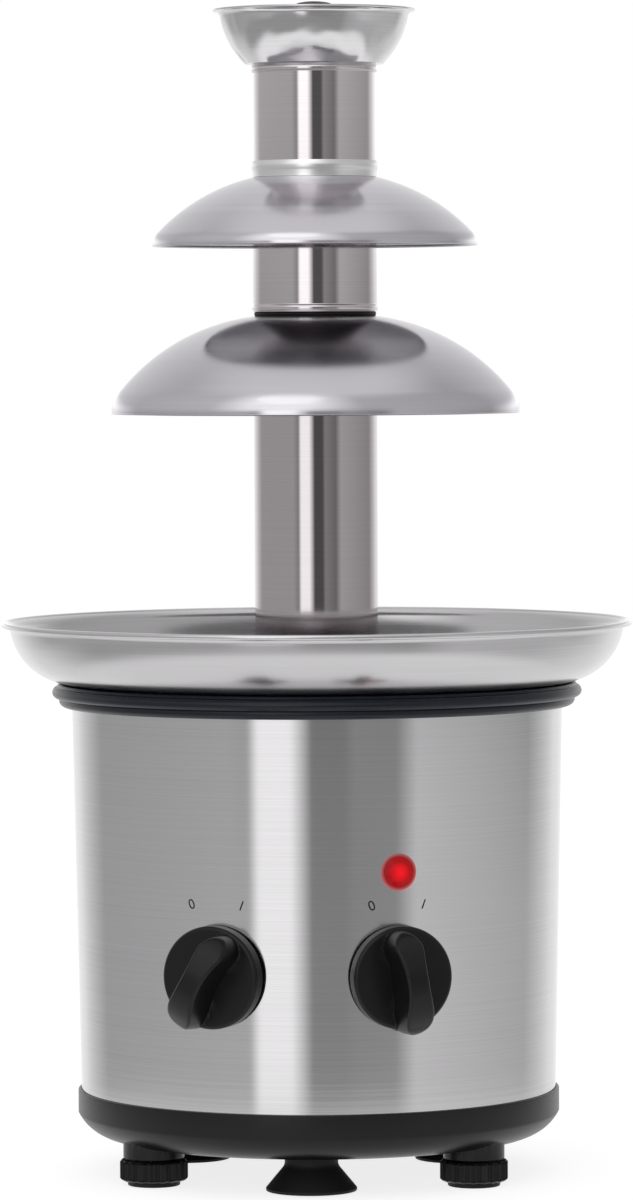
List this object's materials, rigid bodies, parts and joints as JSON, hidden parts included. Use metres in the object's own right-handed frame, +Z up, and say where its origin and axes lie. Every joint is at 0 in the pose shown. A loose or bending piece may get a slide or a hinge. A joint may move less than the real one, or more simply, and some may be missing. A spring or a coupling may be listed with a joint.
{
  "type": "chocolate fountain",
  "caption": "Table-top chocolate fountain: heated steel base with a wide bowl, a motor-driven auger inside stacked tubes and domed canopies, and a flared cup on top.",
  "frame": {"origin": "on the table, under the tower's axis", "axes": "+Z up along the tower, -Y towards the front with the knobs, +X to the right seen from the front"},
  "size_m": [0.205, 0.205, 0.38],
  "materials": {
    "brushed_steel": "vertical brushed",
    "satin_steel": "satin, turned",
    "polished_steel": "polished",
    "plated_steel": "zinc plated",
    "aluminium": "cast",
    "brass": "turned",
    "copper": "wound wire",
    "ferrite": "sintered",
    "black_plastic": "moulded, satin",
    "cream_plastic": "moulded",
    "lamp_red": "clear red lens",
    "rubber": "moulded"
  },
  "bodies": {
    "base": {"bowl": "satin_steel", "bowl_hub": "brass", "hub_nut": "brass", "shaft_seal": "rubber", "bowl_studs": "plated_steel", "stud_nuts": "plated_steel", "collar_ring": "black_plastic", "heater_plate": "aluminium", "heater_element": "plated_steel", "thermostat": "cream_plastic", "thermal_fuse": "aluminium", "heat_shield": "plated_steel", "deck_bush": "brass", "gear_deck": "plated_steel", "deck_posts": "plated_steel", "motor_can": "plated_steel", "motor_end_cap": "cream_plastic", "motor_magnets": "ferrite", "motor_screws": "plated_steel", "housing_sleeve": "brushed_steel", "base_tray": "black_plastic", "base_posts": "plated_steel", "base_screws": "plated_steel", "motor_switch": "cream_plastic", "heat_switch": "cream_plastic", "switch_nuts": "brass", "lamp_lens": "lamp_red", "lamp_body": "cream_plastic", "cord_gland": "black_plastic", "gland_nut": "black_plastic", "terminal_block": "cream_plastic", "suction_cup_front": "rubber", "suction_cup_left": "rubber", "suction_cup_right": "rubber", "foot_inserts": "brass"},
    "lower_tube": {"lower_tube": "polished_steel"},
    "lower_canopy": {"lower_canopy": "satin_steel", "tier_gasket": "rubber"},
    "middle_tube": {"middle_tube": "polished_steel"},
    "upper_canopy": {"upper_canopy": "satin_steel"},
    "upper_tube": {"upper_tube": "polished_steel"},
    "top_cup": {"top_cup": "polished_steel"},
    "auger": {"auger": "black_plastic"},
    "drive": {"drive_shaft": "plated_steel", "shaft_clip": "plated_steel", "drive_gear": "cream_plastic"},
    "rotor": {"motor_rotor": "copper", "motor_pinion": "brass"},
    "motor_knob": {"motor_knob": "black_plastic", "motor_spindle": "plated_steel"},
    "heat_knob": {"heat_knob": "black_plastic", "heat_spindle": "plated_steel"},
    "foot_pad_left": {"levelling_pad_left": "rubber"},
    "foot_knob_left": {"levelling_knob_left": "black_plastic"},
    "foot_pad_right": {"levelling_pad_right": "rubber"},
    "foot_knob_right": {"levelling_knob_right": "black_plastic"},
    "foot_pad_rear": {"levelling_pad_rear": "rubber"},
    "foot_knob_rear": {"levelling_knob_rear": "black_plastic"}
  },
  "joints": [
    {"name": "lower_tube_lift", "type": "slide", "parent": "base", "child": "lower_tube", "axis": [0, 0, 1], "range_m": [0, 0.225]},
    {"name": "lower_canopy_lift", "type": "slide", "parent": "lower_tube", "child": "lower_canopy", "axis": [0, 0, 1], "range_m": [0, 0.11]},
    {"name": "middle_tube_lift", "type": "slide", "parent": "lower_canopy", "child": "middle_tube", "axis": [0, 0, 1], "range_m": [0, 0.11]},
    {"name": "upper_canopy_lift", "type": "slide", "parent": "middle_tube", "child": "upper_canopy", "axis": [0, 0, 1], "range_m": [0, 0.06]},
    {"name": "upper_tube_lift", "type": "slide", "parent": "upper_canopy", "child": "upper_tube", "axis": [0, 0, 1], "range_m": [0, 0.06]},
    {"name": "top_cup_lift", "type": "slide", "parent": "upper_tube", "child": "top_cup", "axis": [0, 0, 1], "range_m": [0, 0.035]},
    {"name": "drive_spin", "type": "hinge", "parent": "base", "child": "drive", "pos_m": [0, 0, 0.11], "axis": [0, 0, 1], "continuous": true},
    {"name": "rotor_spin", "type": "hinge", "parent": "base", "child": "rotor", "pos_m": [0, 0.03712, 0.09], "axis": [0, 0, 1], "continuous": true},
    {"name": "auger_lift", "type": "slide", "parent": "drive", "child": "auger", "axis": [0, 0, 1], "range_m": [0, 0.215]},
    {"name": "motor_knob_turn", "type": "hinge", "parent": "base", "child": "motor_knob", "pos_m": [-0.02868, -0.07318, 0.0707], "axis": [-0.3649, -0.9311, 0], "range_deg": [0, 45]},
    {"name": "heat_knob_turn", "type": "hinge", "parent": "base", "child": "heat_knob", "pos_m": [0.02868, -0.07318, 0.0707], "axis": [0.3649, -0.9311, 0], "range_deg": [-45, 0]},
    {"name": "foot_left_drop", "type": "slide", "parent": "base", "child": "foot_pad_left", "axis": [0, 0, -1], "range_m": [0, 0.005]},
    {"name": "foot_left_turn", "type": "hinge", "parent": "foot_pad_left", "child": "foot_knob_left", "pos_m": [-0.05129, -0.03658, 0.005], "axis": [0, 0, -1], "range_deg": [0, 1440]},
    {"name": "foot_right_drop", "type": "slide", "parent": "base", "child": "foot_pad_right", "axis": [0, 0, -1], "range_m": [0, 0.005]},
    {"name": "foot_right_turn", "type": "hinge", "parent": "foot_pad_right", "child": "foot_knob_right", "pos_m": [0.05129, -0.03658, 0.005], "axis": [0, 0, -1], "range_deg": [0, 1440]},
    {"name": "foot_rear_drop", "type": "slide", "parent": "base", "child": "foot_pad_rear", "axis": [0, 0, -1], "range_m": [0, 0.005]},
    {"name": "foot_rear_turn", "type": "hinge", "parent": "foot_pad_rear", "child": "foot_knob_rear", "pos_m": [0, 0.063, 0.005], "axis": [0, 0, -1], "range_deg": [0, 1440]}
  ],
  "couplings": [
    {"joint": "rotor_spin", "follows": "drive_spin", "ratio": -4.5},
    {"joint": "foot_left_drop", "follows": "foot_left_turn", "m_per_rad": 0.0001989},
    {"joint": "foot_right_drop", "follows": "foot_right_turn", "m_per_rad": 0.0001989},
    {"joint": "foot_rear_drop", "follows": "foot_rear_turn", "m_per_rad": 0.0001989}
  ]
}
